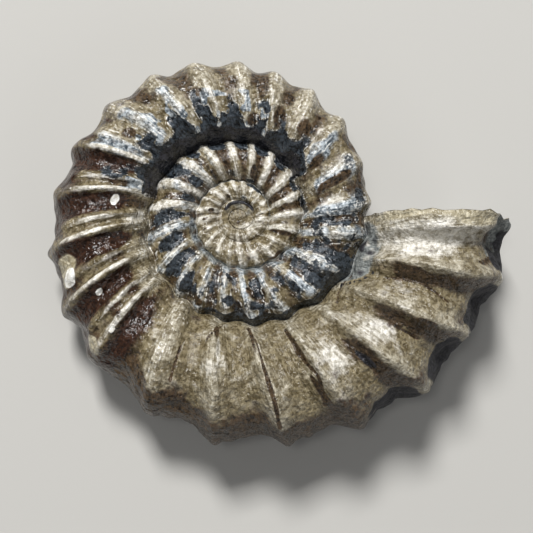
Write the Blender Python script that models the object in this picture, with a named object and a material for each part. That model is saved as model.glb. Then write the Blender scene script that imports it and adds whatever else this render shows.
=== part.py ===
"""A loose fossil ammonite, ribbed and openly coiled, lying on its flank. Metres, +Z up.

The shell is one spiral tube. Its section at a spiral angle tau is an oval whose size grows by a fixed
factor each turn, and its ribs stand out square to that section. A point on it is named by tau and by phi,
the angle round the section: 0 on the venter (the outer edge), +90 on the upper flank, -90 on the lower one.
Each turn stops at the seam where it meets the turn inside it, so the whole coil is one closed surface.
The origin is on the resting plane, under the middle of the fossil's box.
"""

import math

import bpy
import numpy as np

MM = 0.001

# Size and coiling of the shell, in millimetres and degrees
END_RADIUS = 28.7  # spiral axis to the venter at the broken end, between two ribs
GROWTH_PER_TURN = 2.035
SECTION_CENTRE = 0.75  # of the radius
HALF_HEIGHT = 0.25  # of the radius, half the section from seam to venter
HALF_WIDTH = 0.23  # of the radius, half the section from flank to flank
SHOULDER = 14.0  # phi where the next turn's seam lies
SEAM = 168.0  # phi where a turn meets the one inside it
WALL_TOP = 112.0  # phi where the flank turns down into the umbilical wall

# Ribs
RIB_DIRECTIONS = (
    6, 25, 43, 60, 76, 90, 107, 123, 140, 157, 174, 192, 209, 225, 245, 264, 282, 300, 317, 332, 346, 358,
)  # where each rib of the last turn crosses the venter
# where each rib of the turn inside it crosses that turn's venter
SECOND_TURN_RIBS = (21, 41, 63, 80, 98, 118, 136, 158, 175, 196, 215, 232, 246, 263, 278, 295, 313, 332, 352)
RIB_LAG = 7.0  # how far a rib's inner end lies behind its outer end
INNER_RIB_GAP = 17.5  # degrees between the ribs further in
RIB_HEIGHT_YOUNG = 0.044  # of the radius
RIB_HEIGHT_LATE = 0.066
LATE_RIBS_FROM, LATE_RIBS_BY = 232.0, 268.0  # direction over which the ribs grow bolder
CREST_YOUNG, CREST_LATE = 0.45, 0.16  # roundness of a rib's crest: 0 is a knife edge
RIB_AT_SEAM = 0.15  # share of the rib's height left at the seam
PROUD_RIBS = ((-43.0, 0.022), (-14.0, 0.024), (-78.0, -0.018))  # tau, and extra height on the venter
PROUD_TAU_WIDTH, PROUD_PHI_WIDTH = 7.0, 70.0

# Damage and stone that is left on the shell
CORNER_BREAK = 0.055  # of the radius, depth of the broken shoulder at the end
CORNER_TAU, CORNER_TAU_WIDTH = -3.0, 6.0
CORNER_PHI, CORNER_PHI_WIDTH = 24.0, 26.0
WEDGE_HEIGHT = 0.075  # of the radius, the grey stone left in the upper seam by the end
WEDGE_TAU, WEDGE_TAU_WIDTH = -18.0, 14.0
WEDGE_PHI, WEDGE_PHI_WIDTH = 158.0, 20.0
STONE_FILL = 0.85  # how much of the valleys the dark stone fills, low on the venter by the end
STONE_FROM, STONE_BY = -62.0, -42.0

# How it lies: the coil tilts because the last turn is the thickest
REST_ROLL = 4.45  # degrees about Y, which lifts the broken end
REST_PITCH = -1.15  # degrees about X
AXIS_AT = (-4.77, 3.79, 6.60)  # where the coil's centre stands, in millimetres
GROUND = 0.35  # whatever lies lower than this is worn flat onto the resting plane

# Samples
STRAIGHT_END = 30.0  # degrees over which the mesh lines turn from the ribs to the broken end
STRAIGHT_SEAM = 25.0  # degrees of phi over which they turn to the seam
STEPS = (128, 128, 64, 32)  # round each turn, the last turn first
FLANK_ROWS = 5
VENTER_ROWS = 5


def smooth_step(low, high, x):
    t = np.clip((x - low) / (high - low), 0.0, 1.0)
    return t * t * (3.0 - 2.0 * t)


def bump(x, centre, width):
    """1 at the centre and 0 a width away, smooth between."""
    t = np.clip(np.abs(x - centre) / width, 0.0, 1.0)
    return (1.0 - t * t) ** 2


def radius(tau):
    """Axis to venter. It about doubles with each full turn, and the shell ends at tau 0."""
    return END_RADIUS * GROWTH_PER_TURN ** (tau / 360.0)


def rib_count(tau):
    """Ribs passed so far: a whole number on a rib's crest."""
    crests = np.concatenate([np.array(SECOND_TURN_RIBS) - 720.0, np.array(RIB_DIRECTIONS) - 360.0])
    inner = (tau - crests[0]) / INNER_RIB_GAP
    return np.where(tau < crests[0], inner, np.interp(tau, crests, np.arange(len(crests))))


def rib_lag(phi):
    """How far a rib has fallen behind its place on the venter."""
    return RIB_LAG * (1.0 - np.cos(np.radians(phi))) / 2.0


def along_rib(u, phi):
    """Spiral angle on mesh line u. The lines follow the ribs, and meet the seam and the broken end square."""
    turned = smooth_step(0.0, -STRAIGHT_END, u) * smooth_step(SEAM, SEAM - STRAIGHT_SEAM, np.abs(phi))
    return u - rib_lag(phi) * turned


def rib_relief(tau, phi):
    """1 on a crest and 0 in a valley. The crest is sharper on the last half turn."""
    late = smooth_step(LATE_RIBS_FROM - 360.0, LATE_RIBS_BY - 360.0, tau)
    soft = CREST_YOUNG + (CREST_LATE - CREST_YOUNG) * late
    wave = np.sqrt(np.sin(np.pi * rib_count(tau + rib_lag(phi))) ** 2 + soft**2)
    return 1.0 - (wave - soft) / (np.sqrt(1.0 + soft**2) - soft)


def rib_height(tau, phi):
    """Height of the ribs over the section, as a share of the radius."""
    late = smooth_step(LATE_RIBS_FROM - 360.0, LATE_RIBS_BY - 360.0, tau)
    full = RIB_HEIGHT_YOUNG + (RIB_HEIGHT_LATE - RIB_HEIGHT_YOUNG) * late
    fade = 1.0 - (1.0 - RIB_AT_SEAM) * smooth_step(WALL_TOP - 25.0, SEAM, np.abs(phi))
    stone = smooth_step(STONE_FROM, STONE_BY, tau) * smooth_step(10.0, -8.0, phi)
    stone = stone * smooth_step(-75.0, -50.0, phi)
    proud = sum(extra * bump(tau, at, PROUD_TAU_WIDTH) for at, extra in PROUD_RIBS)
    relief = rib_relief(tau, phi)
    lift = full * fade * (relief + STONE_FILL * stone * (1.0 - relief))
    return lift + proud * bump(phi, 0.0, PROUD_PHI_WIDTH)


def free_point(tau, phi):
    """A point of the oval section: centre plus half axes and rib, turned to its direction."""
    size = radius(tau)
    c, s = np.cos(np.radians(phi)), np.sin(np.radians(phi))
    lift = rib_height(tau, phi)
    lift = lift - CORNER_BREAK * bump(tau, CORNER_TAU, CORNER_TAU_WIDTH) * bump(
        phi, CORNER_PHI, CORNER_PHI_WIDTH
    )
    out = size * (SECTION_CENTRE + (HALF_HEIGHT + lift) * c)
    up = size * (HALF_WIDTH + lift) * s
    wedge = bump(tau, WEDGE_TAU, WEDGE_TAU_WIDTH) * bump(phi, WEDGE_PHI, WEDGE_PHI_WIDTH)
    up = up + size * WEDGE_HEIGHT * wedge
    direction = np.radians(tau)
    return np.stack([out * np.cos(direction), out * np.sin(direction), up], -1)


def shell_point(tau, phi):
    """The section, pulled near its inner edge onto the shoulder of the turn inside it."""
    tau, phi = np.broadcast_arrays(np.asarray(tau, float), np.asarray(phi, float))
    side = np.where(phi < 0.0, -1.0, 1.0)
    pull = smooth_step(WALL_TOP, SEAM, np.abs(phi))[..., None]
    gap = free_point(tau - 360.0, side * SHOULDER) - free_point(tau, side * SEAM)
    return free_point(tau, phi) + pull * gap


def laid_down(points):
    """Tilts the coil as it rests, sets it over the origin and wears the lowest crests flat at z = 0."""
    roll, pitch = math.radians(REST_ROLL), math.radians(REST_PITCH)
    about_y = np.array([[math.cos(roll), 0, -math.sin(roll)], [0, 1, 0], [math.sin(roll), 0, math.cos(roll)]])
    about_x = np.array([[1, 0, 0], [0, math.cos(pitch), -math.sin(pitch)], [0, math.sin(pitch), math.cos(pitch)]])
    placed = points @ (about_x @ about_y).T + np.array(AXIS_AT)
    placed[placed[:, 2] < GROUND, 2] = 0.0
    return placed


class Coil:
    """Vertices and faces of the closed coil, gathered turn by turn."""

    def __init__(self):
        self.points = []
        self.faces = []

    def add(self, points):
        first = len(self.points)
        self.points.extend(np.reshape(points, (-1, 3)))
        return np.arange(first, len(self.points)).reshape(np.shape(points)[:-1])

    def skin(self, ids, flip):
        """Faces of a grid of vertex numbers. Where two neighbours are one vertex, a triangle."""
        for i in range(ids.shape[0] - 1):
            for j in range(ids.shape[1] - 1):
                corners = [ids[i, j], ids[i + 1, j], ids[i + 1, j + 1], ids[i, j + 1]]
                face = [int(v) for n, v in enumerate(corners) if v != corners[n - 1]]
                if len(face) > 2:
                    self.faces.append(face[::-1] if flip else face)

    def fan(self, loop, centre, flip):
        for a, b in zip(loop, np.roll(loop, -1)):
            face = [int(a), int(b), int(centre)]
            self.faces.append(face[::-1] if flip else face)


def flank_grids(coil, side):
    """Vertex numbers of one side, a grid for each turn, with the last turn first."""
    phi = side * np.linspace(SHOULDER, SEAM, FLANK_ROWS + 1)
    grids = []
    for turn in reversed(range(len(STEPS))):
        u = -360.0 * turn - np.linspace(360.0, 0.0, STEPS[turn] + 1)[:, None]
        ids = coil.add(shell_point(along_rib(u, phi), phi))
        if grids:
            inside = grids[0]
            ratio = STEPS[turn] // STEPS[turn + 1]
            ids[:, -1] = inside[np.arange(STEPS[turn] + 1) // ratio, 0]
            ids[0, :] = inside[-1, :]
        else:
            ids[-1, -1] = ids[0, 0]
        grids.insert(0, ids)
    return grids


def ammonite():
    coil = Coil()
    upper = flank_grids(coil, 1.0)
    lower = flank_grids(coil, -1.0)

    # The venter of the last turn joins the two sides
    u = -np.linspace(360.0, 0.0, STEPS[0] + 1)[:, None]
    phi = np.linspace(SHOULDER, -SHOULDER, VENTER_ROWS + 1)
    band = coil.add(shell_point(along_rib(u, phi), phi))
    band[:, 0] = upper[0][:, 0]
    band[:, -1] = lower[0][:, 0]

    for ids in upper:
        coil.skin(ids, False)
    for ids in lower:
        coil.skin(ids, True)
    coil.skin(band, True)

    # The first chamber closes the middle on both sides
    for grids, flip in ((upper, False), (lower, True)):
        innermost = grids[-1]
        loop = np.concatenate([innermost[0, :-1], innermost[:-1, -1]])
        middle = np.mean([coil.points[n] for n in loop], axis=0)
        coil.fan(loop, coil.add(middle), flip)

    # The broken end, from the seam over the venter to the other seam and back along the turn inside
    loop = np.concatenate(
        [upper[0][-1, ::-1], band[-1, 1:-1], lower[0][-1, :], band[0, 1:-1][::-1]]
    )
    middle = np.mean([coil.points[n] for n in loop], axis=0)
    coil.fan(loop, coil.add(middle), False)

    used, index = np.unique(np.concatenate([np.array(f) for f in coil.faces]), return_inverse=True)
    points = laid_down(np.array(coil.points)[used]) * MM
    sizes = [len(f) for f in coil.faces]
    faces = [part.tolist() for part in np.split(index, np.cumsum(sizes)[:-1])]
    mesh = bpy.data.meshes.new("ammonite_fossil")
    mesh.from_pydata(points.tolist(), [], faces)
    mesh.validate()
    mesh.shade_smooth()
    mesh.set_sharp_from_angle(angle=math.radians(40.0))
    return mesh


def fossil_calcite():
    """Brown, waxed calcite shell over dark stone."""
    material = bpy.data.materials.new("fossil_calcite")
    material.use_nodes = True
    shader = material.node_tree.nodes["Principled BSDF"]
    shader.inputs["Base Color"].default_value = (0.19, 0.15, 0.10, 1.0)
    shader.inputs["Roughness"].default_value = 0.34
    shader.inputs["Metallic"].default_value = 0.0
    return material


for item in list(bpy.data.objects):
    bpy.data.objects.remove(item)

fossil = bpy.data.objects.new("ammonite_fossil", ammonite())
fossil.data.materials.append(fossil_calcite())
bpy.context.scene.collection.objects.link(fossil)
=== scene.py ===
import math

import bpy
import numpy as np
from mathutils import Matrix, Vector


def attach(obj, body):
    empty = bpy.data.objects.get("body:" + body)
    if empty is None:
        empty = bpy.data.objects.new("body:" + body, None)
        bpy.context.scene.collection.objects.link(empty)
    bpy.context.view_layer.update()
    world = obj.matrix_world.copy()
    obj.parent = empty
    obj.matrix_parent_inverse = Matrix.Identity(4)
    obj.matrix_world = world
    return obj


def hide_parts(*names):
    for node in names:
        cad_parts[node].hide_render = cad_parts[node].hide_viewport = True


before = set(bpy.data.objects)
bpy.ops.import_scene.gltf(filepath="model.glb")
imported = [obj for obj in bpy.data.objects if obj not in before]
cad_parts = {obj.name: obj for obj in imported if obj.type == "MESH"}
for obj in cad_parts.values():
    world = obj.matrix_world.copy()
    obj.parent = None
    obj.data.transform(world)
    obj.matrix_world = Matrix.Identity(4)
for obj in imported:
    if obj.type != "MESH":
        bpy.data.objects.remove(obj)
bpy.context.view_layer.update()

# The coil. The real piece is one fossil: a spiral tube of calcite shell, filled and backed by stone, whose
# every turn rests in the one inside it. It grew at its open end, so its size is a power of its angle.

# Places on it are given by two angles in degrees. tau runs along the spiral up to 0 at the broken end. phi
# runs round the section: 0 on the venter, the coil's outer side, and positive on the flank that faces up.
MM = 0.001
END_RADIUS = 28.7  # mm from the spiral axis to the venter at the broken end
GROWTH_PER_TURN = 2.035
SECTION_CENTRE = 0.75  # of the radius, the distance from the axis
HALF_HEIGHT = 0.25  # of the radius, the section's half axis away from the spiral axis
HALF_WIDTH = 0.23  # of the radius, its half axis from flank to flank
SHOULDER = 14.0  # phi where the next turn's seam lies
SEAM = 168.0  # phi where a turn meets the one inside it
WALL_TOP = 112.0  # phi where the flank turns down into the umbilical wall
REST_ROLL = 4.45  # degrees about Y
REST_PITCH = -1.15  # degrees about X
AXIS_AT = (-4.77, 3.79, 6.60)  # mm, the coil's centre
LOWEST = 0.02  # mm over the resting plane
PITCHED = Matrix.Rotation(math.radians(REST_PITCH), 3, "X")
AT_REST = PITCHED @ Matrix.Rotation(-math.radians(REST_ROLL), 3, "Y")


def radius(tau):
    """Axis to venter: the end's radius times the growth per turn to the power of the turns passed."""
    return END_RADIUS * GROWTH_PER_TURN ** (tau / 360.0)


def laid_down(points):
    """Tilts the coil as it rests and sets it over the origin, no lower than the resting plane."""
    placed = points @ np.array(AT_REST).T + np.array(AXIS_AT)
    placed[..., 2] = np.maximum(placed[..., 2], LOWEST)
    return placed


# The ribs. Each is a fold of the shell that crosses the whole outer side, and leans back a little from the
# venter to the seam. The last half turn has bold ribs with a sharp crest, steeper on the side that grew
# first. On the left the ribs are broad bands of two or three strands.
RIB_DIRECTIONS = (
    6, 25, 43, 60, 76, 90, 107, 123, 140, 157, 174, 192, 209, 225, 245, 264, 282, 300, 317, 332, 346, 358,
)  # degrees, the ribs of the last turn on the venter
SECOND_TURN_RIBS = (
    21, 41, 63, 80, 98, 118, 136, 158, 175, 196, 215, 232, 246, 263, 278, 295, 313, 332, 352,
)
INNER_RIB_GAP = 17.5  # degrees
RIB_LAG = 7.0  # degrees from the venter to the far side of the section
RIB_SKEW = 0.11  # of the way from one crest to the next
RIB_HEIGHT_YOUNG, RIB_HEIGHT_LATE = 0.044, 0.066  # of the radius
CREST_YOUNG, CREST_LATE = 0.45, 0.16  # how rounded a crest is
LATE_FROM, LATE_BY = -128.0, -92.0  # tau where the bold ribs begin, and have grown to their full height
BAND_FALL, BAND_RISE = (0.30, 0.06), (0.34, 0.60)  # of the way from one crest to the next
BANDED, BANDED_SHARE = (-208.0, -136.0, 9.0), 0.8  # tau from, to and soft edge
BANDED_PHI = (18.0, 60.0)  # where the bands begin, and are full
RIB_AT_SEAM = 0.15  # of its height
RIB_FADE = 25.0  # degrees of phi above the wall, where a rib begins to sink
LOW_RIBS, LOW_RIBS_TAU = 0.6, (-800.0, -700.0)  # share of the height that the third turn's ribs have
INNER_SMOOTH_FROM, INNER_SMOOTH_BY = -1080.0, -1220.0  # the first turn has no ribs
PROUD_RIBS = ((-43.0, 0.022), (-14.0, 0.024), (-78.0, -0.018))  # tau, and the height added
PROUD_TAU_WIDTH, PROUD_PHI_WIDTH = 7.0, 70.0
STRAND_HEIGHT = 0.012  # of the radius
STRANDS_FROM, STRANDS_TO = (-222.0, -205.0), (-120.0, -135.0)  # tau where they begin, and are full
STRANDS_PHI = (25.0, 60.0)
STONE_FROM, STONE_BY = -62.0, -42.0
STONE_TOP, STONE_FOOT = (10.0, -8.0), (-75.0, -50.0)  # phi
STONE_FILL = 0.85  # of a valley's depth


def smooth_step(low, high, x):
    """0 below low, 1 above high, and 3t^2 - 2t^3 between."""
    t = np.clip((x - low) / (high - low), 0.0, 1.0)
    return t * t * (3.0 - 2.0 * t)


def bump(x, centre, width):
    """1 at the centre and 0 a width away: the square of one minus the squared distance."""
    t = np.clip(np.abs(x - centre) / width, 0.0, 1.0)
    return (1.0 - t * t) ** 2


def window(x, low, high, soft):
    """1 from low to high, fading to 0 over the soft width outside."""
    return smooth_step(low - soft, low, x) * smooth_step(high + soft, high, x)


def rib_lag(phi):
    """How far a rib has fallen behind its place on the venter: half the lag times one minus cosine."""
    return RIB_LAG * (1.0 - np.cos(np.radians(phi))) / 2.0


def rib_count(tau):
    """Ribs passed so far: a whole number on a rib's crest, and linear between."""
    crests = np.concatenate([np.array(SECOND_TURN_RIBS) - 720.0, np.array(RIB_DIRECTIONS) - 360.0])
    inner = (tau - crests[0]) / INNER_RIB_GAP
    return np.where(tau < crests[0], inner, np.interp(tau, crests, np.arange(len(crests))))


def strand_wave(tau, phi):
    """Three waves to a rib, with one on its crest: the cosine of six pi times the rib count."""
    return np.cos(6.0 * np.pi * rib_count(tau + rib_lag(phi)))


def rib_relief(tau, phi):
    """1 on a crest and 0 in a valley: a rounded absolute sine of the rib count, skewed back. On the left
    each rib is a broad band instead, which rises slowly and drops off just past its crest."""
    late = smooth_step(LATE_FROM, LATE_BY, tau)
    soft = CREST_YOUNG + (CREST_LATE - CREST_YOUNG) * late
    count = rib_count(tau + rib_lag(phi))
    count = count + late * RIB_SKEW * (np.cos(2.0 * np.pi * count) - 1.0) / 2.0
    wave = np.sqrt(np.sin(np.pi * count) ** 2 + soft**2)
    even = 1.0 - (wave - soft) / (np.sqrt(1.0 + soft**2) - soft)
    past = count % 1.0
    band = np.maximum(smooth_step(*BAND_FALL, past), smooth_step(*BAND_RISE, past))
    share = BANDED_SHARE * window(tau, *BANDED) * smooth_step(*BANDED_PHI, np.abs(phi))
    return even + (band - even) * share


def stone_on_venter(tau, phi):
    """1 where dark stone fills the valleys: late in tau and just below the middle of the venter."""
    stone = smooth_step(STONE_FROM, STONE_BY, tau) * smooth_step(*STONE_TOP, phi)
    return stone * smooth_step(*STONE_FOOT, phi)


def rib_height(tau, phi):
    """Height of the ribs over the section, as a share of the radius. The relief is scaled by the turn and
    fades down the umbilical wall, stone fills part of the valleys, and strands and proud ribs are added."""
    side = np.abs(phi)
    late = smooth_step(LATE_FROM, LATE_BY, tau)
    full = RIB_HEIGHT_YOUNG + (RIB_HEIGHT_LATE - RIB_HEIGHT_YOUNG) * late
    full = full * smooth_step(INNER_SMOOTH_BY, INNER_SMOOTH_FROM, tau)
    full = full * (LOW_RIBS + (1.0 - LOW_RIBS) * smooth_step(*LOW_RIBS_TAU, tau))
    fade = 1.0 - (1.0 - RIB_AT_SEAM) * smooth_step(WALL_TOP - RIB_FADE, SEAM, side)
    relief = rib_relief(tau, phi)
    lift = full * fade * (relief + STONE_FILL * stone_on_venter(tau, phi) * (1.0 - relief))
    strands = smooth_step(*STRANDS_FROM, tau) * smooth_step(*STRANDS_TO, tau)
    strands = strands * smooth_step(*STRANDS_PHI, side) * strand_wave(tau, phi)
    lift = lift + STRAND_HEIGHT * strands * fade * relief
    proud = sum(extra * bump(tau, at, PROUD_TAU_WIDTH) for at, extra in PROUD_RIBS)
    return lift + proud * bump(phi, 0.0, PROUD_PHI_WIDTH)


# The damage. The shell is brittle calcite: it is broken off square, its shoulder is chipped there, fine
# cracks run with the ribs, and it is worn uneven. Grey stone fills the seam beside the last turn.
CORNER_BREAK = 0.055  # of the radius
CORNER_TAU, CORNER_TAU_WIDTH = -3.0, 6.0
CORNER_PHI, CORNER_PHI_WIDTH = 24.0, 26.0
WEDGE_HEIGHT = 0.075  # of the radius
WEDGE_TAU, WEDGE_TAU_WIDTH = -18.0, 14.0
WEDGE_PHI, WEDGE_PHI_WIDTH = 158.0, 20.0
WEDGE_LOW, WEDGE_LUMPS = 0.6, 0.8  # of its height, where the lumps are lowest, and what they add
CRUST_TAU, CRUST_PHI = 3.5, 9.0  # degrees to one lump
CRACKS = (
    ((-79.5, 48), (-80, 85), (-83, 130), (-87, 152)), ((-66.5, 55), (-65, 85), (-68, 110), (-69, 142)),
    ((-50, 62), (-50.5, 92), (-52, 104)), ((-104, 122), (-99, 147)),
    ((-43, 143), (-38, 152), (-33, 158), (-28, 162)), ((-84, 12), (-86, 40)), ((-112, 70), (-113, 104)),
    ((-10.5, 0), (-10, 24), (-12.5, 46)), ((-36, 60), (-37, 84), (-34, 97)),
    ((-24, 60), (-22, 92), (-25, 118)),
)  # tau and phi along each crack
CRACK_WIDTH, CRACK_DEPTH = 0.4, 0.25  # mm
FLANK_AT = 0.85  # of the radius, the flank's distance from the axis
CRUMBLE, CRUMBLE_FROM = 1.4, -2.2  # degrees of tau that the broken edge is nibbled back, and from where
NIBBLE = 7.0  # degrees of phi to one nibble
ROUGHNESS, ROUGH_SIZE = 0.42, 1.3  # mm, the worn shell's round lumps
RIDGES, RIDGE_WIDTH, RIDGE_LENGTH = 0.34, 1.0, 5.0  # mm, its ridges along the ribs
RIDGE_STEP = 40.0  # degrees of tau that count as one radius along the coil
ROUGH_RADIUS = 14.0  # mm, inside which the unevenness shrinks with the coil
LATTICE = np.random.default_rng(11).random((32, 32, 32))


def lumps(points, size):
    """Random field from 0 to 1: random values on a lattice of the given size in mm, blended smoothly."""
    cell = points / size
    low = np.floor(cell).astype(int)
    t = cell - low
    t = t * t * (3.0 - 2.0 * t)
    total = 0.0
    for corner in np.ndindex(2, 2, 2):
        weight = np.prod(np.where(np.array(corner) == 1, t, 1.0 - t), axis=-1)
        i, j, k = np.moveaxis((low + corner) % 32, -1, 0)
        total = total + weight * LATTICE[i, j, k]
    return total


def flat_lumps(x, y, layer):
    """The same field over two numbers, cut through the lattice at a layer."""
    return lumps(np.stack(np.broadcast_arrays(x, y, layer), -1), 1.0)


def cracked(tau, phi):
    """1 on a crack and 0 half its width away, by the distance in mm to each of its straight lengths."""
    degree = np.pi / 180.0 * radius(tau)
    open_most = np.zeros(np.broadcast(tau, phi).shape)
    for path in CRACKS:
        for (tau_a, phi_a), (tau_b, phi_b) in zip(path, path[1:]):
            x, y = (tau - tau_a) * degree * FLANK_AT, (phi - phi_a) * degree * HALF_HEIGHT
            run_x, run_y = (tau_b - tau_a) * degree * FLANK_AT, (phi_b - phi_a) * degree * HALF_HEIGHT
            share = np.clip((x * run_x + y * run_y) / (run_x**2 + run_y**2), 0.0, 1.0)
            away = np.hypot(x - share * run_x, y - share * run_y)
            open_most = np.maximum(open_most, smooth_step(CRACK_WIDTH / 2.0, 0.0, away))
    return open_most


def unevenness(tau, phi):
    """Relief of the worn shell in mm: round lumps, and ridges five times as long as wide along the ribs."""
    size = radius(tau)
    direction = np.radians(tau)
    around = np.radians(phi)
    ring = size * (SECTION_CENTRE + HALF_HEIGHT * np.cos(around))
    up = size * HALF_WIDTH * np.sin(around)
    at = np.stack([ring * np.cos(direction), ring * np.sin(direction), up], -1)
    along = size * (tau + rib_lag(phi)) / RIDGE_STEP
    ridges = flat_lumps(along / RIDGE_WIDTH, size * around * HALF_HEIGHT / RIDGE_LENGTH, 0.3)
    small = np.minimum(size / ROUGH_RADIUS, 1.0)
    return small * (ROUGHNESS * (lumps(at, ROUGH_SIZE) - 0.5) + RIDGES * (ridges - 0.5))


def free_point(tau, phi):
    """A point of the oval section: its centre plus the half axes and what stands on them or is missing
    there, turned to its direction."""
    size = radius(tau)
    c, s = np.cos(np.radians(phi)), np.sin(np.radians(phi))
    corner = bump(tau, CORNER_TAU, CORNER_TAU_WIDTH) * bump(phi, CORNER_PHI, CORNER_PHI_WIDTH)
    lift = rib_height(tau, phi) - CORNER_BREAK * corner - CRACK_DEPTH / size * cracked(tau, phi)
    lift = lift + unevenness(tau, phi) / size
    out = size * (SECTION_CENTRE + (HALF_HEIGHT + lift) * c)
    up = size * (HALF_WIDTH + lift) * s
    wedge = bump(tau, WEDGE_TAU, WEDGE_TAU_WIDTH) * bump(phi, WEDGE_PHI, WEDGE_PHI_WIDTH)
    crust = flat_lumps(tau / CRUST_TAU, phi / CRUST_PHI, 0.4)
    up = up + size * WEDGE_HEIGHT * wedge * (WEDGE_LOW + WEDGE_LUMPS * crust)
    nibbled = CRUMBLE * flat_lumps(tau * 0.0 + 0.7, phi / NIBBLE, 0.2) * smooth_step(CRUMBLE_FROM, 0.0, tau)
    direction = np.radians(tau - nibbled)
    return np.stack([out * np.cos(direction), out * np.sin(direction), up], -1)


def shell_point(tau, phi):
    """The section, pulled near its inner edge onto the shoulder of the turn inside it."""
    tau, phi = np.broadcast_arrays(np.asarray(tau, float), np.asarray(phi, float))
    side = np.where(phi < 0.0, -1.0, 1.0)
    pull = smooth_step(WALL_TOP, SEAM, np.abs(phi))[..., None]
    gap = free_point(tau - 360.0, side * SHOULDER) - free_point(tau, side * SEAM)
    return free_point(tau, phi) + pull * gap


# The skin. It is the outside of the whole fossil, shell and stone, as one closed surface: a fine grid of
# each turn's two flanks, the venter of the last turn, the rough face where it broke off, and the first
# chamber in the middle of both sides, worn to a cup.
STEPS = (720, 360, 180, 90)  # mesh lines round each turn, the last turn first
UPPER_ROWS = (44, 30, 22, 16)  # from the shoulder to the seam
LOWER_ROWS = (24, 18, 12, 8)
VENTER_ROWS = 22
STRAIGHT_END = 30.0  # degrees over which the mesh lines turn from the ribs to the broken end
STRAIGHT_SEAM = 25.0  # degrees of phi over which they turn to the seam
FIRST_CHAMBER = -360.0 * len(STEPS)  # tau
BULB_RINGS = 8
BULB_HEIGHT = -0.45  # mm the first chamber lies under its seam
CUP_RADIUS, CUP_FLOOR, CUP_RISE = 1.75, -0.1, 0.3  # mm, the worn hollow in the middle
CUP_FULL, CUP_EDGE = 0.5, 0.3  # mm inside its radius where it is full, and outside where it begins
RING_HEIGHT, RING_AT, RING_WIDTH = 0.1, 0.35, 0.3  # mm, the raised ring outside its radius
END_RINGS = (0.97, 0.955, 0.85, 0.72, 0.58, 0.44, 0.3, 0.15)  # of the way from the middle to the rim
SHELL_EDGE = 0.96  # of that way, outside which the broken end is shell
SHELL_STEP, STEP_AT = 0.45, (0.97, 0.955)  # mm the stone lies behind the shell, and where on that way
TORN_LUMPS, TORN_LUMP_SIZE, TORN_AT = 0.9, 2.2, (0.95, 0.8)  # mm high and across, and where they rise
END_SHELL_PHI, END_STONE_PHI = 90.0, 24.0  # where the broken end takes its colours from
places, taus, phis, corners, labels = [], [], [], [], []


def along_rib(u, phi):
    """Spiral angle on mesh line u, which follows the ribs, and meets the seam and the broken end square."""
    turned = smooth_step(0.0, -STRAIGHT_END, u) * smooth_step(SEAM, SEAM - STRAIGHT_SEAM, np.abs(phi))
    return u - rib_lag(phi) * turned


def add_points(block, tau, phi):
    """Keeps a block of vertices with their spiral angle and section angle, and gives their numbers."""
    first = sum(len(kept) for kept in places)
    places.append(np.reshape(block, (-1, 3)))
    taus.append(np.ravel(np.broadcast_to(tau, block.shape[:-1])))
    phis.append(np.ravel(np.broadcast_to(phi, block.shape[:-1])))
    return np.arange(first, first + len(places[-1])).reshape(block.shape[:-1])


def add_grid(u, phi):
    """Vertices of a grid of mesh lines by rows of phi."""
    tau = along_rib(u[:, None], phi[None, :])
    return add_points(shell_point(tau, phi[None, :]), tau, phi[None, :])


def skin(ids, own, flip):
    """Quads between neighbouring lines and rows. own keeps each corner's number before rows were joined."""
    for grid, kept in ((ids, corners), (own, labels)):
        quads = np.stack([grid[:-1, :-1], grid[1:, :-1], grid[1:, 1:], grid[:-1, 1:]], -1).reshape(-1, 4)
        kept.append(quads[:, ::-1] if flip else quads)


def flank(side, rows):
    """One side, a grid for each turn. A turn's seam row is the shoulder row of the turn inside it."""
    grids = []
    for turn in reversed(range(len(STEPS))):
        u = -360.0 * turn - np.linspace(360.0, 0.0, STEPS[turn] + 1)
        own = add_grid(u, side * np.linspace(SHOULDER, SEAM, rows[turn] + 1))
        ids = own.copy()
        if grids:
            inside = grids[0]
            ratio = STEPS[turn] // STEPS[turn + 1]
            ids[:, -1] = inside[np.arange(STEPS[turn] + 1) // ratio, 0]
            joined = np.round(np.linspace(0, rows[turn + 1], rows[turn] + 1)).astype(int)
            ids[0, :] = inside[-1, joined]
        else:
            ids[-1, -1] = ids[0, 0]
        grids.insert(0, ids)
        skin(ids, own, side < 0.0)
    return grids


upper = flank(1.0, UPPER_ROWS)
lower = flank(-1.0, LOWER_ROWS)
own = add_grid(-np.linspace(360.0, 0.0, STEPS[0] + 1), np.linspace(SHOULDER, -SHOULDER, VENTER_ROWS + 1))
band = own.copy()
band[:, 0] = upper[0][:, 0]
band[:, -1] = lower[0][:, 0]
skin(band, own, True)


def cap(loop, shares, shift, tau, phi, flip):
    """Rings from a closed loop of vertices to its middle, each at a share of the way and moved by shift."""
    rim = np.concatenate(places)[loop]
    middle = rim.mean(axis=0)
    shares = np.append(shares, 0.0)[:, None, None]
    rings = middle + (rim - middle) * shares
    own = add_points(np.concatenate([rim[None], rings + shift(shares, rings)]), tau, phi)
    ids = own.copy()
    ids[0] = loop
    ids[-1] = own[-1, 0]
    ids, own = (np.concatenate([grid, grid[:, :1]], axis=1) for grid in (ids, own))
    skin(ids, own, flip)


def torn(share, at):
    """How far the broken face lies back: a step behind the shell's edge, then lumps over the stone."""
    back = SHELL_STEP * smooth_step(*STEP_AT, share[..., 0])
    back = back + TORN_LUMPS * (lumps(at + 7.0, TORN_LUMP_SIZE) - 0.5) * smooth_step(*TORN_AT, share[..., 0])
    return np.stack([0.0 * back, -back, 0.0 * back], -1)


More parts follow.
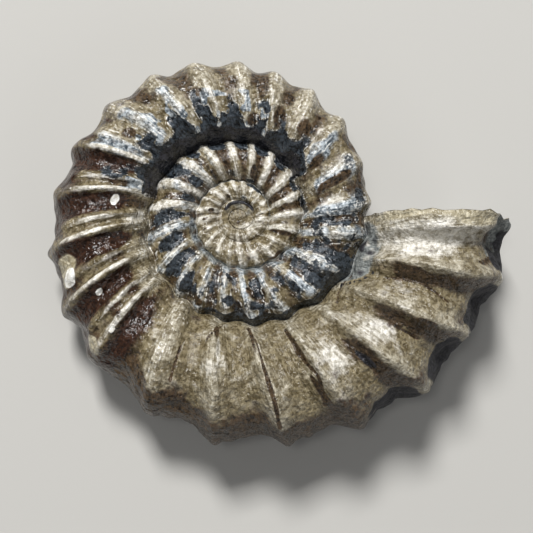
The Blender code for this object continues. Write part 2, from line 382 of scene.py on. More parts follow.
for facing, innermost in ((1.0, upper[-1]), (-1.0, lower[-1])):
    loop = np.concatenate([innermost[0, :-1], innermost[:-1, -1]])
    dome = np.array([0.0, 0.0, facing * BULB_HEIGHT])
    shares = np.linspace(1.0, 0.0, BULB_RINGS + 1)[1:-1]
    cap(loop, shares, lambda share, at: (1.0 - share**2) * dome, FIRST_CHAMBER, facing * SEAM, facing < 0.0)
loop = np.concatenate([upper[0][-1, ::-1], band[-1, 1:-1], lower[0][-1, :], band[0, 1:-1][::-1]])
on_shell = np.concatenate([[1.0], END_RINGS, [0.0]])[:, None] > SHELL_EDGE
cap(loop, END_RINGS, torn, 0.0, np.where(on_shell, END_SHELL_PHI, END_STONE_PHI), False)

places, taus, phis = np.concatenate(places), np.concatenate(taus), np.concatenate(phis)
from_axis = np.hypot(places[:, 0], places[:, 1])
cup = np.sign(phis) * (CUP_FLOOR + CUP_RISE * (from_axis / CUP_RADIUS) ** 2)
in_cup = smooth_step(CUP_RADIUS + CUP_EDGE, CUP_RADIUS - CUP_FULL, from_axis)
ring = np.sign(phis) * RING_HEIGHT * bump(from_axis, CUP_RADIUS + RING_AT, RING_WIDTH)
places[:, 2] = places[:, 2] * (1.0 - in_cup) + cup * in_cup + ring
corners, labels = np.concatenate(corners), np.concatenate(labels)


def closed_faces(quads, own):
    """Quads with four corners, and triangles where two neighbouring corners are one vertex."""
    for kept in range(4):
        same = quads[:, kept] == quads[:, (kept + 1) % 4]
        others = [n for n in range(4) if n != kept]
        yield quads[same][:, others], own[same][:, others]
        quads, own = quads[~same], own[~same]
    yield quads, own


groups = list(closed_faces(corners, labels))
used, numbers = np.unique(np.concatenate([quads.ravel() for quads, own in groups]), return_inverse=True)
sizes = np.concatenate([np.full(len(quads), quads.shape[1]) for quads, own in groups])
label_of_corner = np.concatenate([own.ravel() for quads, own in groups])
mesh = bpy.data.meshes.new("fossil_skin")
mesh.vertices.add(len(used))
mesh.vertices.foreach_set("co", (laid_down(places[used]) * MM).ravel())
mesh.loops.add(len(numbers))
mesh.loops.foreach_set("vertex_index", numbers.ravel().astype(np.int32))
mesh.polygons.add(len(sizes))
mesh.polygons.foreach_set("loop_start", (np.cumsum(sizes) - sizes).astype(np.int32))
mesh.update(calc_edges=True)


# The marks on it. Brown calcite is worn down to pale lines on the ribs, among painted highlights. There is
# blue-black mineral toward the seam on the far side, red-brown shell on the left, painted silvery sheen on
# the ribs and in flakes, painted shade behind the last ribs and on the near venters, and dark or grey stone
# at the rim, in the seam and in the broken end.

# Soft spots, each its tau and phi, its reach in both, and its strength.
# Of the brown spots, the two at tau -33 and -20.5 are painted shade under the last ribs.
BROWN_SPOTS = (
    (-341, 88, 3.5, 36, 1.1), (-326, 108, 3.5, 20, 0.8), (-324, 142, 3.5, 28, 0.7), (-307, 90, 4.5, 18, 0.8),
    (-293, 100, 4.5, 18, 0.8), (-279, 118, 6, 15, 0.9), (-216, 82, 3, 10, 1.3), (-199, 30, 8, 26, 0.7),
    (-231, 146, 3.5, 18, 0.8), (-186, 135, 8, 26, 0.5), (-66, 70, 1.1, 22, 1.3), (-67.5, 118, 1.0, 28, 1.2),
    (-80.5, 85, 1.0, 30, 1.2), (-84.5, 132, 1.0, 24, 1.2), (-100.5, 134, 1.5, 12, 1.3),
    (-50, 78, 1.1, 15, 1.8), (-33, 68, 3.0, 12, 0.7), (-20.5, 112, 3.5, 24, 0.6), (-694, 100, 4.5, 50, 1.2),
    (-671, 100, 4, 40, 0.9), (-647, 115, 4, 26, 0.9), (-578, 80, 3.5, 12, 1.0), (-556, 88, 3, 28, 1.0),
    (-476, 48, 4, 14, 0.9), (-403, 90, 4, 36, 1.0), (-440, 95, 8, 14, 0.7), (-383, 95, 4, 46, 1.1),
    (-365, 100, 3, 60, 1.1), (-1056, 120, 5, 34, 1.0), (-965, 130, 6, 24, 1.0), (-913, 110, 5, 26, 1.0),
    (-895, 88, 3.5, 26, 1.0), (-878, 78, 3.5, 30, 1.1), (-862, 78, 3, 20, 0.8), (-742, 90, 4, 60, 1.2),
    (-768, 40, 10, 12, 1.0),
)
INK_SPOTS = (
    (-197.5, 95, 4, 20, 1.1), (-218, 108, 7, 22, 0.9), (-220, 150, 15, 30, 1.3), (-237, 118, 5, 28, 1.2),
    (-247, 155, 14, 24, 1.3), (-251, 106, 4.5, 38, 1.2), (-269, 122, 5, 28, 1.1), (-285, 102, 3.5, 26, 1.0),
    (-273, 155, 22, 20, 1.4), (-300, 150, 14, 28, 1.1), (-310, 118, 6, 12, 0.9), (-302, 125, 8, 16, 0.7),
    (-346, 160, 16, 20, 1.0), (-203, 142, 8, 20, 0.9), (-334, 55, 6, 18, 0.5), (-352, 45, 7, 20, 0.4),
    (-578, 112, 7, 22, 1.1), (-559, 128, 4.5, 26, 1.2), (-538, 85, 5, 58, 1.4), (-518, 70, 5, 46, 1.3),
    (-502, 75, 4.5, 50, 1.3), (-487, 65, 4.5, 40, 1.1), (-457, 75, 6, 12, 0.8), (-442, 70, 4, 14, 0.8),
    (-437, 110, 6, 16, 0.7), (-416, 95, 6, 24, 0.7), (-401, 62, 5, 30, 1.0), (-385, 55, 5, 30, 1.1),
    (-622, 135, 9, 20, 0.8), (-597, 138, 6, 14, 0.8), (-647, 152, 9, 14, 1.0), (-1022, 40, 24, 26, 1.1),
    (-1005, 140, 16, 26, 0.7),
)
RUST_SPOTS = (
    (-199, 68, 3.6, 20, 1.2), (-183, 78, 5.5, 40, 1.5), (-166, 58, 5.2, 42, 1.5), (-167, 105, 5.2, 42, 1.5),
    (-148.5, 76, 5.6, 48, 1.5), (-133, 90, 4, 18, 1.2), (-187, 40, 10, 26, 0.6), (-204, 45, 6, 22, 0.5),
)
# Pale spots: worn shell on the inner turns, and on the last turn partly painted highlights.
PALE_SPOTS = (
    (-352, 95, 5, 34, 0.9), (-334, 85, 5, 34, 0.9), (-318, 95, 4.5, 32, 0.8), (-315, 72, 5, 16, 0.7),
    (-303, 75, 5, 20, 0.8), (-300, 104, 5, 15, 0.7), (-284, 72, 5, 18, 0.8), (-266, 76, 8, 24, 0.8),
    (-256.5, 80, 2.2, 36, 0.9), (-247, 76, 4, 18, 0.7), (-225, 80, 9, 28, 0.9), (-237.5, 80, 3, 26, 0.8),
    (-211, 75, 3, 34, 0.9), (-205, 80, 3, 34, 0.8), (-208, 112, 5, 16, 0.7), (-211, 142, 2.2, 26, 0.8),
    (-193, 86, 2.4, 30, 1.1), (-189.7, 92, 1.3, 28, 1.0), (-187.3, 86, 1.2, 26, 0.9),
    (-176.5, 86, 1.8, 32, 1.1), (-172, 80, 1.6, 38, 1.0), (-158.7, 96, 1.8, 30, 1.1),
    (-155.2, 92, 1.4, 34, 1.0), (-152.8, 90, 1.0, 34, 0.9), (-143.4, 100, 1.7, 38, 1.1),
    (-137.8, 96, 1.3, 24, 1.0), (-178, 138, 5, 20, 0.8), (-192, 128, 2, 14, 0.6), (-98.5, 115, 0.9, 14, 1.6),
    (-703, 85, 5, 48, 0.8), (-684, 95, 5, 50, 0.8), (-663, 95, 5, 50, 0.8), (-530, 85, 5, 32, 1.0),
    (-510.5, 88, 3.5, 32, 1.1), (-494, 98, 4, 28, 0.9), (-478, 104, 4, 28, 0.8), (-548, 70, 4, 40, 0.8),
    (-570, 70, 4, 36, 0.7), (-455, 112, 14, 16, 0.8), (-396, 120, 5, 22, 0.8), (-372, 75, 4.5, 50, 0.8),
    (-430, 130, 10, 14, 0.7), (-42, 85, 5, 34, 0.7), (-58, 100, 5, 34, 0.5),
)
CHIP_SPOTS = (
    (-158.6, 48, 3.4, 15, 1.6), (-185.4, 107, 3.6, 7, 1.1), (-149.6, 77, 1.6, 7, 0.9),
    (-136.4, 72, 1.2, 6, 1.0), (-246, 66, 2.2, 4, 0.6), (-13.5, 17, 1.5, 9, 0.8),
)
CREAM_SPOTS = (
    (-161, 42, 6.5, 24, 1.2), (-137.5, 40, 4, 12, 1.2), (-1, 110, 4.0, 60, 0.7), (-2, 60, 4.0, 40, 0.7),
    (-157, 140, 4, 15, 0.5),
)
SEAM_STONE = (-18.0, 166.0, 18.0, 38.0)
END_SHINE = (-9.0, 95.0, 6.5, 55.0)
HOLLOW = (-50.2, 78.0, 1.3, 15.0)

# Zones with soft edges, each from, to and soft edge in tau, then the same in phi.
EVERY_PHI = (-999.0, 999.0, 1.0)
ZONES = {
    "far side": (-322.0, -195.0, 8.0, *EVERY_PHI),
    "far flank": (-322.0, -195.0, 8.0, 60.0, 110.0, 12.0),
    "far sheen": (-322.0, -195.0, 8.0, 84.0, 134.0, 10.0),
    "top": (-330.0, -215.0, 10.0, *EVERY_PHI),
    "warm top": (-345.0, -232.0, 10.0, -999.0, 66.0, 30.0),
    "right sheen": (-362.0, -322.0, 5.0, 52.0, 118.0, 14.0),
    "left sheen": (-238.0, -207.0, 5.0, 60.0, 116.0, 16.0),
    "left side": (-206.0, -133.0, 7.0, 0.0, 112.0, 18.0),
    "left venter": (-232.0, -133.0, 8.0, -999.0, 20.0, 40.0),
    "near venter": (-128.0, -62.0, 12.0, -999.0, 28.0, 46.0),
    "end venter": (-50.0, -4.0, 8.0, -999.0, 28.0, 46.0),
    "shaded ribs": (-52.0, -14.0, 4.0, 48.0, 96.0, 22.0),
    "stone rim": (-56.0, -2.0, 3.0, -999.0, 26.0, 8.0),
    "broken corner": (-7.0, 999.0, 4.0, -60.0, 34.0, 6.0),
    "end stone": (-8.0, 999.0, 4.0, -60.0, 34.0, 6.0),
    "second turn": (-600.0, -362.0, 10.0, *EVERY_PHI),
    "second flank": (-600.0, -362.0, 10.0, 52.0, 124.0, 12.0),
    "second seam": (-590.0, -395.0, 14.0, 148.0, 999.0, 30.0),
    "second, left venter": (-700.0, -572.0, 8.0, -999.0, 42.0, 24.0),
    "second, near venter": (-468.0, -385.0, 8.0, -999.0, 36.0, 16.0),
    "second, near side": (-540.0, -362.0, 10.0, *EVERY_PHI),
    "second, whole": (-710.0, -362.0, 10.0, *EVERY_PHI),
    "third turn": (-1080.0, -740.0, 20.0, *EVERY_PHI),
    "third venter": (-1080.0, -760.0, 12.0, -999.0, 22.0, 20.0),
    "third, evened": (-1080.0, -770.0, 30.0, *EVERY_PHI),
    "inner turns": (-1440.0, -545.0, 8.0, *EVERY_PHI),
}


def spot(tau, phi, at_tau, at_phi, tau_width, phi_width):
    """Soft spot that leans with the ribs: one minus the squared distance from its centre, never below 0."""
    along = (tau + rib_lag(phi) - at_tau - rib_lag(at_phi)) / tau_width
    across = (phi - at_phi) / phi_width
    return np.clip(1.0 - along**2 - across**2, 0.0, 1.0)


def spots(tau, phi, kinds):
    """Sum of soft spots, each with its place, reach and strength."""
    return sum(strength * spot(tau, phi, *where) for *where, strength in kinds)


def zone(name, tau, phi):
    """1 in a zone and 0 outside: a window along the coil times a window across it."""
    return window(tau, *ZONES[name][:3]) * window(phi, *ZONES[name][3:])


# What lies at each vertex. The sizes of lumps are in mm, and each number added gives another field of them.
side = np.abs(phis)
relief = rib_relief(taus, phis)
valley = 1.0 - relief
late = smooth_step(LATE_FROM, LATE_BY, taus)
behind_rib = np.clip(rib_relief(taus + 3.5, phis) - rib_relief(taus - 2.5, phis), 0.0, 1.0)
strand = relief * smooth_step(-0.25, 0.8, strand_wave(taus, phis))
crack = cracked(taus, phis)
wander = 2.0 * (lumps(places, 2.2) - 0.5)
fine = lumps(places + 3.0, 1.3) - 0.5
ragged = 26.0 * (lumps(places + 9.0, 1.6) - 0.5) + 14.0 * (lumps(places + 4.0, 0.7) - 0.5)  # degrees
seamward = side + 30.0 * (lumps(places + 6.0, 1.5) - 0.5)
far = zone("far side", taus, side)
top = zone("top", taus, side)
left = zone("left side", taus, side)
second = zone("second turn", taus, side)
# Painted sheen: flakes of silvery highlight that show through the far side's ink.
painted_sheen_flakes = zone("far sheen", taus, side) * smooth_step(0.55, 0.72, lumps(places + 15.0, 0.8))
in_seam = spot(taus, phis, *SEAM_STONE)
ahead = places[:, 1]
bowl = smooth_step(CUP_RADIUS + 0.2, CUP_RADIUS, from_axis)
# Painted shadow: a dark crescent just inside the cup's far rim.
cup_rim_shadow = window(from_axis, CUP_RADIUS - 0.15, CUP_RADIUS + 0.05, 0.15) * smooth_step(0.2, 1.3, ahead)
bowl_speck = smooth_step(0.26, 0.1, np.hypot(places[:, 0] + 0.1, ahead + 0.6))

# How much of each finish there is. Over one half shows.
# Brown: valleys of the young turns, painted shade behind the late ribs, warm patches at the top, and cracks.
brown = 0.4 * valley * (1.0 - late) + spots(taus, phis, BROWN_SPOTS)
brown = brown + late * behind_rib * (0.1 + 0.85 * zone("shaded ribs", taus, phis))
brown = brown + zone("warm top", taus, side) * (0.15 * valley + 0.8 * (lumps(places + 12.0, 1.9) - 0.5))
# Near venter and end venter: olive-brown shell, with painted shade where it faces away from the light.
brown = brown + 0.95 * zone("near venter", taus, phis) + 0.35 * zone("end venter", taus, phis)
brown = brown + 1.5 * crack + left * (0.4 + 0.4 * valley - 0.5 * strand)
brown = brown + 0.3 * valley * zone("second, whole", taus, side)
brown = brown - 0.35 * relief * zone("third turn", taus, side)
brown = (brown + 0.3 * wander + 0.2 * fine) * (1.0 - bowl) + 1.7 * bowl_speck

# Rust: the left side between its strands, fading out over the venter.
rust = left * (0.1 + 1.2 * valley) + 0.35 * zone("left venter", taus, side)
rust = rust + 0.6 * spots(taus, side, RUST_SPOTS) + 0.3 * wander

# Ink: by the seam and up the valleys of the far side, and in patches on the second turn.
ink = far * (1.2 * smooth_step(110.0, 132.0, seamward))
ink = ink + far * (0.7 * valley**3 * smooth_step(80.0, 104.0, seamward))
ink = ink + spots(taus, side, INK_SPOTS) - 0.9 * painted_sheen_flakes
ink = ink + 0.4 * valley * zone("second flank", taus, side) + second * (lumps(places, 0.6) - 0.5)
# On the second turn's venter under the last turn: dark stone with painted shadow from the turn outside it.
ink = ink + zone("second, left venter", taus, side) * (0.2 + valley)
# Painted shade on the second turn's near venter, which faces away from the light, and a little ink beside
# it.
ink = ink + 0.9 * zone("second, near venter", taus, side) + 0.15 * zone("second, near side", taus, side)
inky = np.clip(4.0 * ink, 0.0, 1.0)
ink = (ink + (0.4 * wander + 0.3 * fine) * inky - 0.4 * (1.0 - inky)) * (1.0 - bowl)

# Pale: worn ribs and inner turns, lumps of the stone in the seam, and painted highlights on the strands of
# the left side, on the end's plateau and in a band over the last half turn.
pale = (0.75 - 0.3 * top - 0.35 * second) * spots(taus, side, PALE_SPOTS)
pale = pale + 0.1 * smooth_step(0.72, 0.95, relief) * np.where(taus < INNER_SMOOTH_FROM, 0.0, 1.0)
pale = pale + zone("inner turns", taus, side) * (0.2 + 0.35 * relief) + 0.9 * spot(taus, phis, *END_SHINE)
# Painted highlights: a band over the last half turn and the strands of the left side.
pale = pale + 0.15 * late * window(phis, 92.0, 140.0, 14.0) + left * (0.8 * strand - 0.5)
pale = pale + 0.3 * wander + 0.35 * fine + 1.8 * in_seam * (lumps(places + 1.0, 0.6) - 0.5)
# Painted light: the near half of the cup is paler.
pale = pale * (1.0 - bowl) + 0.5 * bowl * smooth_step(0.2, -1.3, ahead)

# Silver: painted sheen, the silvery highlights on the second turn's ribs, on the right, on the left top, on
# the ribs of the far flank and the left strands, and in flakes over the ink.
silver = second * (0.5 + 0.65 * relief + 0.8 * (lumps(places + 5.0, 0.9) - 0.5)) - 0.5
silver = silver + 1.3 * zone("right sheen", taus, side) * (0.45 + 0.55 * relief)
silver = silver + zone("left sheen", taus, side) * (0.2 + 0.6 * relief)
silver = silver + 0.5 * zone("far flank", taus, side) * smooth_step(0.3, 0.8, relief)
silver = silver + 0.8 * left * strand * (lumps(places + 3.0, 1.2) - 0.1) + 1.3 * painted_sheen_flakes + 0.35 * wander

# Near-black: stone at the rim by the end, on the venter there and in the broken corner, the fissure, the
# stone in the seam, the far seam's depth as black shell with painted shade in its crease, and a painted
# shadow inside the cup's far rim.
corner = zone("broken corner", taus + 0.1 * ragged, phis)
rim = zone("stone rim", taus + 0.5 * ragged, phis + 0.5 * ragged)
rim = rim * smooth_step(-95.0, -75.0, phis + 1.5 * ragged)
rim = rim * smooth_step(0.85, 0.5, relief) * (1.0 - corner)
on_venter = stone_on_venter(taus + ragged, phis + ragged) * smooth_step(0.95, 0.6, relief + 0.012 * ragged)
rock_and_shade = 1.6 * (rim + on_venter) + corner * (0.9 * lumps(places + 8.0, 1.8) - 0.2 + 1.5 * crack)
# Black shell with painted shade in the depth of the far seam.
rock_and_shade = rock_and_shade + 1.1 * far * smooth_step(126.0, 150.0, seamward)
rock_and_shade = rock_and_shade + 1.5 * in_seam * (lumps(places + 2.0, 0.8) - 0.2)
rock_and_shade = rock_and_shade + 1.1 * window(in_seam, 0.03, 0.08, 0.03) * smooth_step(-18.0, -28.0, taus + 0.3 * ragged)
rock_and_shade = rock_and_shade + 1.2 * cup_rim_shadow + 1.5 * spot(taus, phis, *HOLLOW)

# Grey stone: in the seam, in the broken end, and in the worn middle, where the cup's far half is greyer as
# painted shade.
stone = 1.6 * in_seam + 1.4 * zone("end stone", taus + 0.1 * ragged, phis)
stone = stone + 0.7 * zone("second seam", taus, side) + 0.8 * zone("third venter", taus, side)
stone = stone * (1.0 - bowl) + bowl * (0.1 + 0.35 * smooth_step(-1.2, 0.6, ahead))

# The relief that tells worn tan shell from olive shell. It is evened out where the photograph shows less.
worn = relief * (1.0 - 0.75 * left) + 0.35 * top * valley
worn = worn + (0.6 - worn) * 0.5 * zone("third, evened", taus, side)
worn = np.where(taus < INNER_SMOOTH_FROM, 0.45, worn) * (1.0 - bowl)

finishes = {
    "brown": brown, "ink": ink, "rust": rust, "pale": pale, "stone": stone,
    "chip": spots(taus, phis, CHIP_SPOTS), "cream": spots(taus, phis, CREAM_SPOTS) + 0.3 * bowl,
    "relief": worn, "late": np.maximum(late, bowl), "torn": np.clip(1.5 * rim + on_venter, 0.0, 1.0),
    "rock_and_shade": rock_and_shade, "silver": silver,
}
# The layers hold real marks together with painted shade, painted highlights and painted sheen.
LAYERS = {
    "stain_and_shade": ("brown", "ink", "rust"), "wear_and_highlight": ("pale", "stone", "chip"),
    "form": ("cream", "relief", "late"), "break_and_sheen": ("torn", "rock_and_shade", "silver"),
}
for name, parts in LAYERS.items():
    colours = np.ones((len(label_of_corner), 4))
    colours[:, :3] = np.stack([finishes[part] for part in parts], -1)[label_of_corner]
    layer = mesh.attributes.new(name, "FLOAT_COLOR", "CORNER")
    layer.data.foreach_set("color", colours.ravel())
MAP_PER_MM = 0.1
growth = mesh.uv_layers.new(name="growth")
along_coil = radius(taus + rib_lag(phis)) * 2.0 * math.pi / math.log(GROWTH_PER_TURN)
round_section = radius(taus) * HALF_HEIGHT * np.radians(phis)
growth_map = np.stack([along_coil, round_section], -1) * MAP_PER_MM
growth.data.foreach_set("uv", growth_map[label_of_corner].ravel())
mesh.shade_smooth()
mesh.validate()
fossil = bpy.data.objects.new("fossil_skin", mesh)
bpy.context.scene.collection.objects.link(fossil)
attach(fossil, "root")
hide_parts("ammonite_fossil")


# The shell's material: calcite over stone, waxed. The wax gives a close, wet-looking gloss over a grainy
# surface, so it glints in flecks. Dents, crystals and growth lines break up the shine, and where bare stone
# shows the gloss is gone.
# The silver finish is the colour of painted sheen.
SHELL = {
    "olive": ("#4c412a", "#8f8367"), "tan": ("#776d57", "#c8c1ae"), "brown": ("#1a120a", "#5c4a35"),
    "rust": ("#1a0f0a", "#40291c"), "ink": ("#040506", "#434a51"), "pale": ("#a19a89", "#f2eee5"),
    "stone": ("#4b5050", "#979a96"), "chip": ("#d2cdc0", "#fbfaf6"), "cream": ("#857a5f", "#cbc2a9"),
    "rock_and_shade": ("#08080a", "#36353a"), "silver": ("#3a444c", "#c4ccd1"),
}  # each finish as its darkest and lightest grain
# The colour of the painted glints.
GLINT = "#eeebe3"
OVER_EACH_OTHER = (
    ("stone", 0.6, 0.15), ("silver", 1.7, 0.3), ("pale", 1.6, 0.32), ("brown", 1.2, 0.2), ("rust", 1.6, 0.3),
    ("ink", 1.7, 0.25), ("cream", 0.6, 0.15), ("chip", 0.6, 0.08), ("rock_and_shade", 0.8, 0.15),
)  # the lowest first, with how far its edge wanders and how soft it is
CRYSTAL = 0.32  # mm across. Real crystals are under 0.1 mm, too fine to show, so they are drawn coarser
FLAKE, FLAKE_SHIFT = 0.40, 0.45  # mm, the flakes the shell has broken into, and how far their edges stray
DENT = 0.85  # mm across, the shallow dents that break up the shine
BLOTCH = 1.6  # mm across, patches where the shell kept more of its colour
STRIA, STRIA_LENGTH = 0.30, 2.0  # mm, growth lines across the coil
DENT_DEPTH, CRYSTAL_DEPTH, STRIA_DEPTH = 0.42, 0.10, 0.09  # mm from the noise's lowest to its highest
LATE_CRYSTAL_DEPTH = 0.08  # mm more on the last half turn
SPECKLE = (0.72, 1.36)  # sum of the noises for the darkest grain and for the lightest
TAN = (-0.2, 0.45)  # relief and blotches at which olive begins to turn tan, and is tan
RIB_GLINTS, INK_GLINTS = (0.84, 0.94), (0.74, 0.84)  # sum of the noises where flecks begin, and are full
BLOTCH_EDGE, STRIA_EDGE, DENT_EDGE = 0.8, 0.4, 0.42  # how much each noise moves the finishes' edges


def paint(code):
    """Linear colour of an sRGB hex code: the standard curve, with its straight foot."""
    channels = [int(code[n : n + 2], 16) / 255.0 for n in (1, 3, 5)]
    return [c / 12.92 if c <= 0.04045 else ((c + 0.055) / 1.055) ** 2.4 for c in channels] + [1.0]


def node(tree, kind, inputs=(), **settings):
    """Adds a node and its settings, and gives its outputs. The inputs are a row in the node's own order, or
    are named or numbered, and each is a value or another node's output to link."""
    made = tree.nodes.new("ShaderNode" + kind)
    for name, value in settings.items():
        setattr(made, name, value)
    for key, value in inputs.items() if isinstance(inputs, dict) else enumerate(inputs):
        if isinstance(value, bpy.types.NodeSocket):
            tree.links.new(value, made.inputs[key])
        else:
            made.inputs[key].default_value = value
    return made.outputs


material = bpy.data.materials.new("waxed_calcite")
material.use_nodes = True
tree = material.node_tree
shader = tree.nodes["Principled BSDF"]

# The noises, and the marks laid on the mesh.
place = node(tree, "TexCoord")["Object"]
uv = node(tree, "UVMap", uv_map="growth")["UV"]
lengthwise = node(tree, "Mapping", {"Vector": uv, "Scale": (1.0, STRIA / STRIA_LENGTH, 1.0)})[0]
crystals = {"Vector": place, "Scale": 1.0 / (CRYSTAL * MM), "Detail": 3.0, "Roughness": 0.55}
grain, grain_colour = node(tree, "TexNoise", crystals)
dents = {"Vector": place, "Scale": 1.0 / (DENT * MM), "Detail": 2.0, "Roughness": 0.5}
dent = node(tree, "TexNoise", dents)[0]
blotches = {"Vector": place, "Scale": 1.0 / (BLOTCH * MM), "Detail": 5.0, "Roughness": 0.62}
blotch = node(tree, "TexNoise", blotches)[0]
striae = {"Vector": lengthwise, "Scale": 1.0 / (STRIA * MAP_PER_MM), "Detail": 3.0, "Roughness": 0.6}
stria = node(tree, "TexNoise", striae)[0]
strayed = node(tree, "Mix", {0: FLAKE_SHIFT * MM, 4: place, 5: grain_colour}, data_type="VECTOR")[1]
flakes = node(tree, "TexVoronoi", {"Vector": strayed, "Scale": 1.0 / (FLAKE * MM)})["Color"]
tone = node(tree, "SeparateColor", (flakes,))[0]
marks = {}
for name, parts in LAYERS.items():
    colour = node(tree, "Attribute", attribute_name=name)["Color"]
    marks.update(zip(parts, node(tree, "SeparateColor", (colour,))))

# The speckle between the darkest and the lightest grain, calmer on the last half turn, and the ragged edge.
speckle = node(tree, "Math", (grain, 0.9), operation="MULTIPLY")[0]
speckle = node(tree, "Math", (stria, 0.8, speckle), operation="MULTIPLY_ADD")[0]
speckle = node(tree, "Math", (tone, 0.35, speckle), operation="MULTIPLY_ADD")[0]
speckle = node(tree, "MapRange", (speckle, *SPECKLE, 0.0, 1.0), interpolation_type="SMOOTHSTEP")[0]
to_middle = node(tree, "Math", (0.55, speckle), operation="SUBTRACT")[0]
calm = node(tree, "Math", (marks["late"], 0.1), operation="MULTIPLY")[0]
speckle = node(tree, "Math", (to_middle, calm, speckle), operation="MULTIPLY_ADD")[0]
ragged_edge = node(tree, "Math", (stria, STRIA_EDGE), operation="MULTIPLY")[0]
ragged_edge = node(tree, "Math", (blotch, BLOTCH_EDGE, ragged_edge), operation="MULTIPLY_ADD")[0]
ragged_edge = node(tree, "Math", (dent, DENT_EDGE, ragged_edge), operation="MULTIPLY_ADD")[0]

# The finishes over each other: olive shell turns tan on the ribs, and each mark covers what lies under it.
finish = {
    name: node(tree, "Mix", {0: speckle, 6: paint(darkest), 7: paint(lightest)}, data_type="RGBA")[2]
    for name, (darkest, lightest) in SHELL.items()
}
tanned = node(tree, "Math", (blotch, 1.6, -1.05), operation="MULTIPLY_ADD")[0]
tanned = node(tree, "Math", (marks["relief"], 0.5, tanned), operation="MULTIPLY_ADD")[0]
tanned = node(tree, "MapRange", (tanned, *TAN, 0.0, 1.0), interpolation_type="SMOOTHSTEP")[0]
base = node(tree, "Mix", {0: tanned, 6: finish["olive"], 7: finish["tan"]}, data_type="RGBA")[2]
covered = {}
for name, reach, soft in OVER_EACH_OTHER:
    grown = node(tree, "Math", (ragged_edge, reach, marks[name]), operation="MULTIPLY_ADD")[0]
    half = 0.5 + reach * (BLOTCH_EDGE + STRIA_EDGE + DENT_EDGE) / 2.0
    edges = (grown, half - soft, half + soft, 0.0, 1.0)
    covered[name] = node(tree, "MapRange", edges, interpolation_type="SMOOTHSTEP")[0]
    base = node(tree, "Mix", {0: covered[name], 6: base, 7: finish[name]}, data_type="RGBA")[2]

# Painted glints: white flecks painted into the colour on clean shell, and a few where the ink runs out.
glints = node(tree, "Math", (marks["relief"], 0.08), operation="MULTIPLY")[0]
glints = node(tree, "Math", (marks["late"], -0.07, glints), operation="MULTIPLY_ADD")[0]
glints = node(tree, "Math", (grain, 0.6, glints), operation="MULTIPLY_ADD")[0]
glints = node(tree, "Math", (stria, 0.8, glints), operation="MULTIPLY_ADD")[0]
flecks = node(tree, "MapRange", (glints, *RIB_GLINTS, 0.0, 0.75), interpolation_type="SMOOTHSTEP")[0]
unclean = covered["stone"]
for name in ("ink", "rust", "brown", "rock_and_shade"):
    unclean = node(tree, "Math", (unclean, covered[name]), operation="MAXIMUM")[0]
clean = node(tree, "Math", (1.0, unclean), operation="SUBTRACT")[0]
flecks = node(tree, "Math", (flecks, clean), operation="MULTIPLY")[0]
no_ink = node(tree, "Math", (1.0, covered["ink"]), operation="SUBTRACT")[0]
ink_edge = node(tree, "Math", (covered["ink"], no_ink), operation="MULTIPLY")[0]
ink_flecks = node(tree, "MapRange", (glints, *INK_GLINTS, 0.0, 3.2), interpolation_type="SMOOTHSTEP")[0]
ink_flecks = node(tree, "Math", (ink_edge, ink_flecks), operation="MULTIPLY")[0]
flecks = node(tree, "Math", (flecks, ink_flecks), operation="MAXIMUM")[0]
base = node(tree, "Mix", {0: flecks, 6: base, 7: paint(GLINT)}, data_type="RGBA")[2]
tree.links.new(base, shader.inputs["Base Color"])

# The gloss, from wet-looking wax to dull stone, and the relief under it.
smooth = node(tree, "Math", (tone, 0.15, 0.1), operation="MULTIPLY_ADD")[0]
smooth = node(tree, "Math", (marks["late"], 0.1, smooth), operation="MULTIPLY_ADD")[0]
dull = node(tree, "Math", (covered["stone"], covered["chip"]), operation="MAXIMUM")[0]
dull = node(tree, "Math", (dull, marks["torn"]), operation="MAXIMUM")[0]
roughness = node(tree, "Math", (dull, 0.5, smooth), operation="MULTIPLY_ADD")[0]
tree.links.new(roughness, shader.inputs["Roughness"])
depth = node(tree, "Math", (marks["late"], LATE_CRYSTAL_DEPTH, CRYSTAL_DEPTH), operation="MULTIPLY_ADD")[0]
height = node(tree, "Math", (dent, DENT_DEPTH), operation="MULTIPLY")[0]
height = node(tree, "Math", (grain, depth, height), operation="MULTIPLY_ADD")[0]
height = node(tree, "Math", (stria, STRIA_DEPTH, height), operation="MULTIPLY_ADD")[0]
bumps = node(tree, "Bump", {"Strength": 1.0, "Distance": MM, "Height": height})["Normal"]
tree.links.new(bumps, shader.inputs["Normal"])
fossil.data.materials.append(material)

# The table under it. It is plain and pale, with a matt surface like fine plaster, so that nothing but the
# fossil's own shadow shows on it. One small light makes the glints, and the wide ones open the shade.
FLOOR = 3.0  # m from its middle to its edge
floor_corners = [(-FLOOR, -FLOOR, 0), (FLOOR, -FLOOR, 0), (FLOOR, FLOOR, 0), (-FLOOR, FLOOR, 0)]
floor_mesh = bpy.data.meshes.new("floor")
floor_mesh.from_pydata(floor_corners, [], [(0, 1, 2, 3)])
floor = bpy.data.objects.new("floor", floor_mesh)
bpy.context.scene.collection.objects.link(floor)
plaster = bpy.data.materials.new("pale_plaster")
plaster.use_nodes = True
plaster.node_tree.nodes["Principled BSDF"].inputs["Base Color"].default_value = paint("#b7b5b0")
plaster.node_tree.nodes["Principled BSDF"].inputs["Roughness"].default_value = 0.9
floor_mesh.materials.append(plaster)


def softbox(name, azimuth, elevation, distance, size, power):
    """Square area light that faces the origin, placed by its direction."""
    light = bpy.data.lights.new(name, "AREA")
    light.size = size
    light.energy = power
    lamp = bpy.data.objects.new(name, light)
    a, e = math.radians(azimuth), math.radians(elevation)
    lamp.location = Vector((math.cos(a) * math.cos(e), math.sin(a) * math.cos(e), math.sin(e))) * distance
    lamp.rotation_euler = lamp.location.to_track_quat("Z", "Y").to_euler()
    bpy.context.scene.collection.objects.link(lamp)


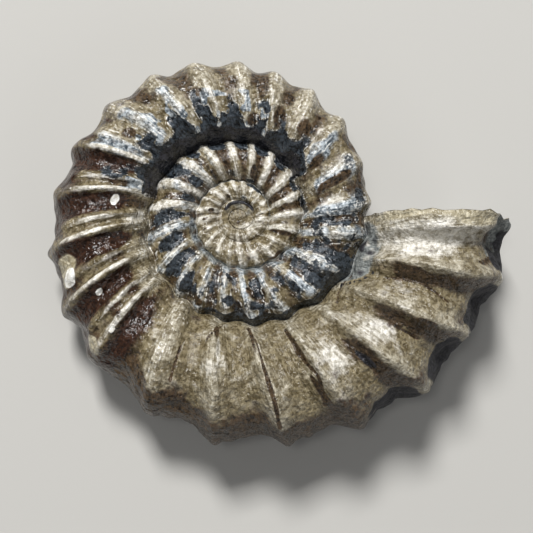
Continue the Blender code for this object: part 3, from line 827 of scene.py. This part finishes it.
softbox("key", 108.0, 52.0, 0.8, 0.18, 8.6)
softbox("fill", -50.0, 30.0, 0.9, 0.5, 1.1)
softbox("top", 165.0, 74.0, 0.7, 0.1, 0.5)
world = bpy.data.worlds.new("studio")
bpy.context.scene.world = world
world.use_nodes = True
world.node_tree.nodes["Background"].inputs["Color"].default_value = paint("#e8ecf2")
world.node_tree.nodes["Background"].inputs["Strength"].default_value = 0.15
bpy.context.scene.view_settings.view_transform = "Standard"

# The camera, in the coil's own frame: high over the near edge, and turned so that the coil's centre falls
# left of the picture's middle and above it.
PIXEL = 0.112  # mm on the fossil
PICTURE = 533.0  # pixels, its width and its height
DISTANCE = 1100.0  # pixels to the coil's centre
ELEVATION = 82.0  # degrees over the coil's plane
COIL_AT = (239.0, 217.0)  # pixels, the coil's centre in the picture
FILM = 36.0  # mm, its width
tilt = math.radians(ELEVATION)
forward = Vector((0.0, math.cos(tilt), -math.sin(tilt)))
right = Vector((1.0, 0.0, 0.0))
above = right.cross(forward)
camera_at = -forward * DISTANCE * PIXEL * MM
yaw = math.atan2(COIL_AT[0] - PICTURE / 2.0, DISTANCE)
forward, right = (
    forward * math.cos(yaw) - right * math.sin(yaw),
    right * math.cos(yaw) + forward * math.sin(yaw),
)
pitch = math.atan2(PICTURE / 2.0 - COIL_AT[1], math.hypot(DISTANCE, COIL_AT[0] - PICTURE / 2.0))
forward, above = (
    forward * math.cos(pitch) - above * math.sin(pitch),
    above * math.cos(pitch) + forward * math.sin(pitch),
)
camera_data = bpy.data.cameras.new("camera")
camera_data.sensor_width = FILM
camera_data.lens = FILM * DISTANCE * math.cos(yaw) * math.cos(pitch) / PICTURE
camera_data.clip_start = 0.005
camera = bpy.data.objects.new("camera", camera_data)
axes = Matrix((right, above, -forward)).transposed()
stand = Matrix.Translation(AT_REST @ camera_at + Vector(AXIS_AT) * MM)
camera.matrix_world = stand @ (AT_REST @ axes).to_4x4()
bpy.context.scene.collection.objects.link(camera)
bpy.context.scene.camera = camera
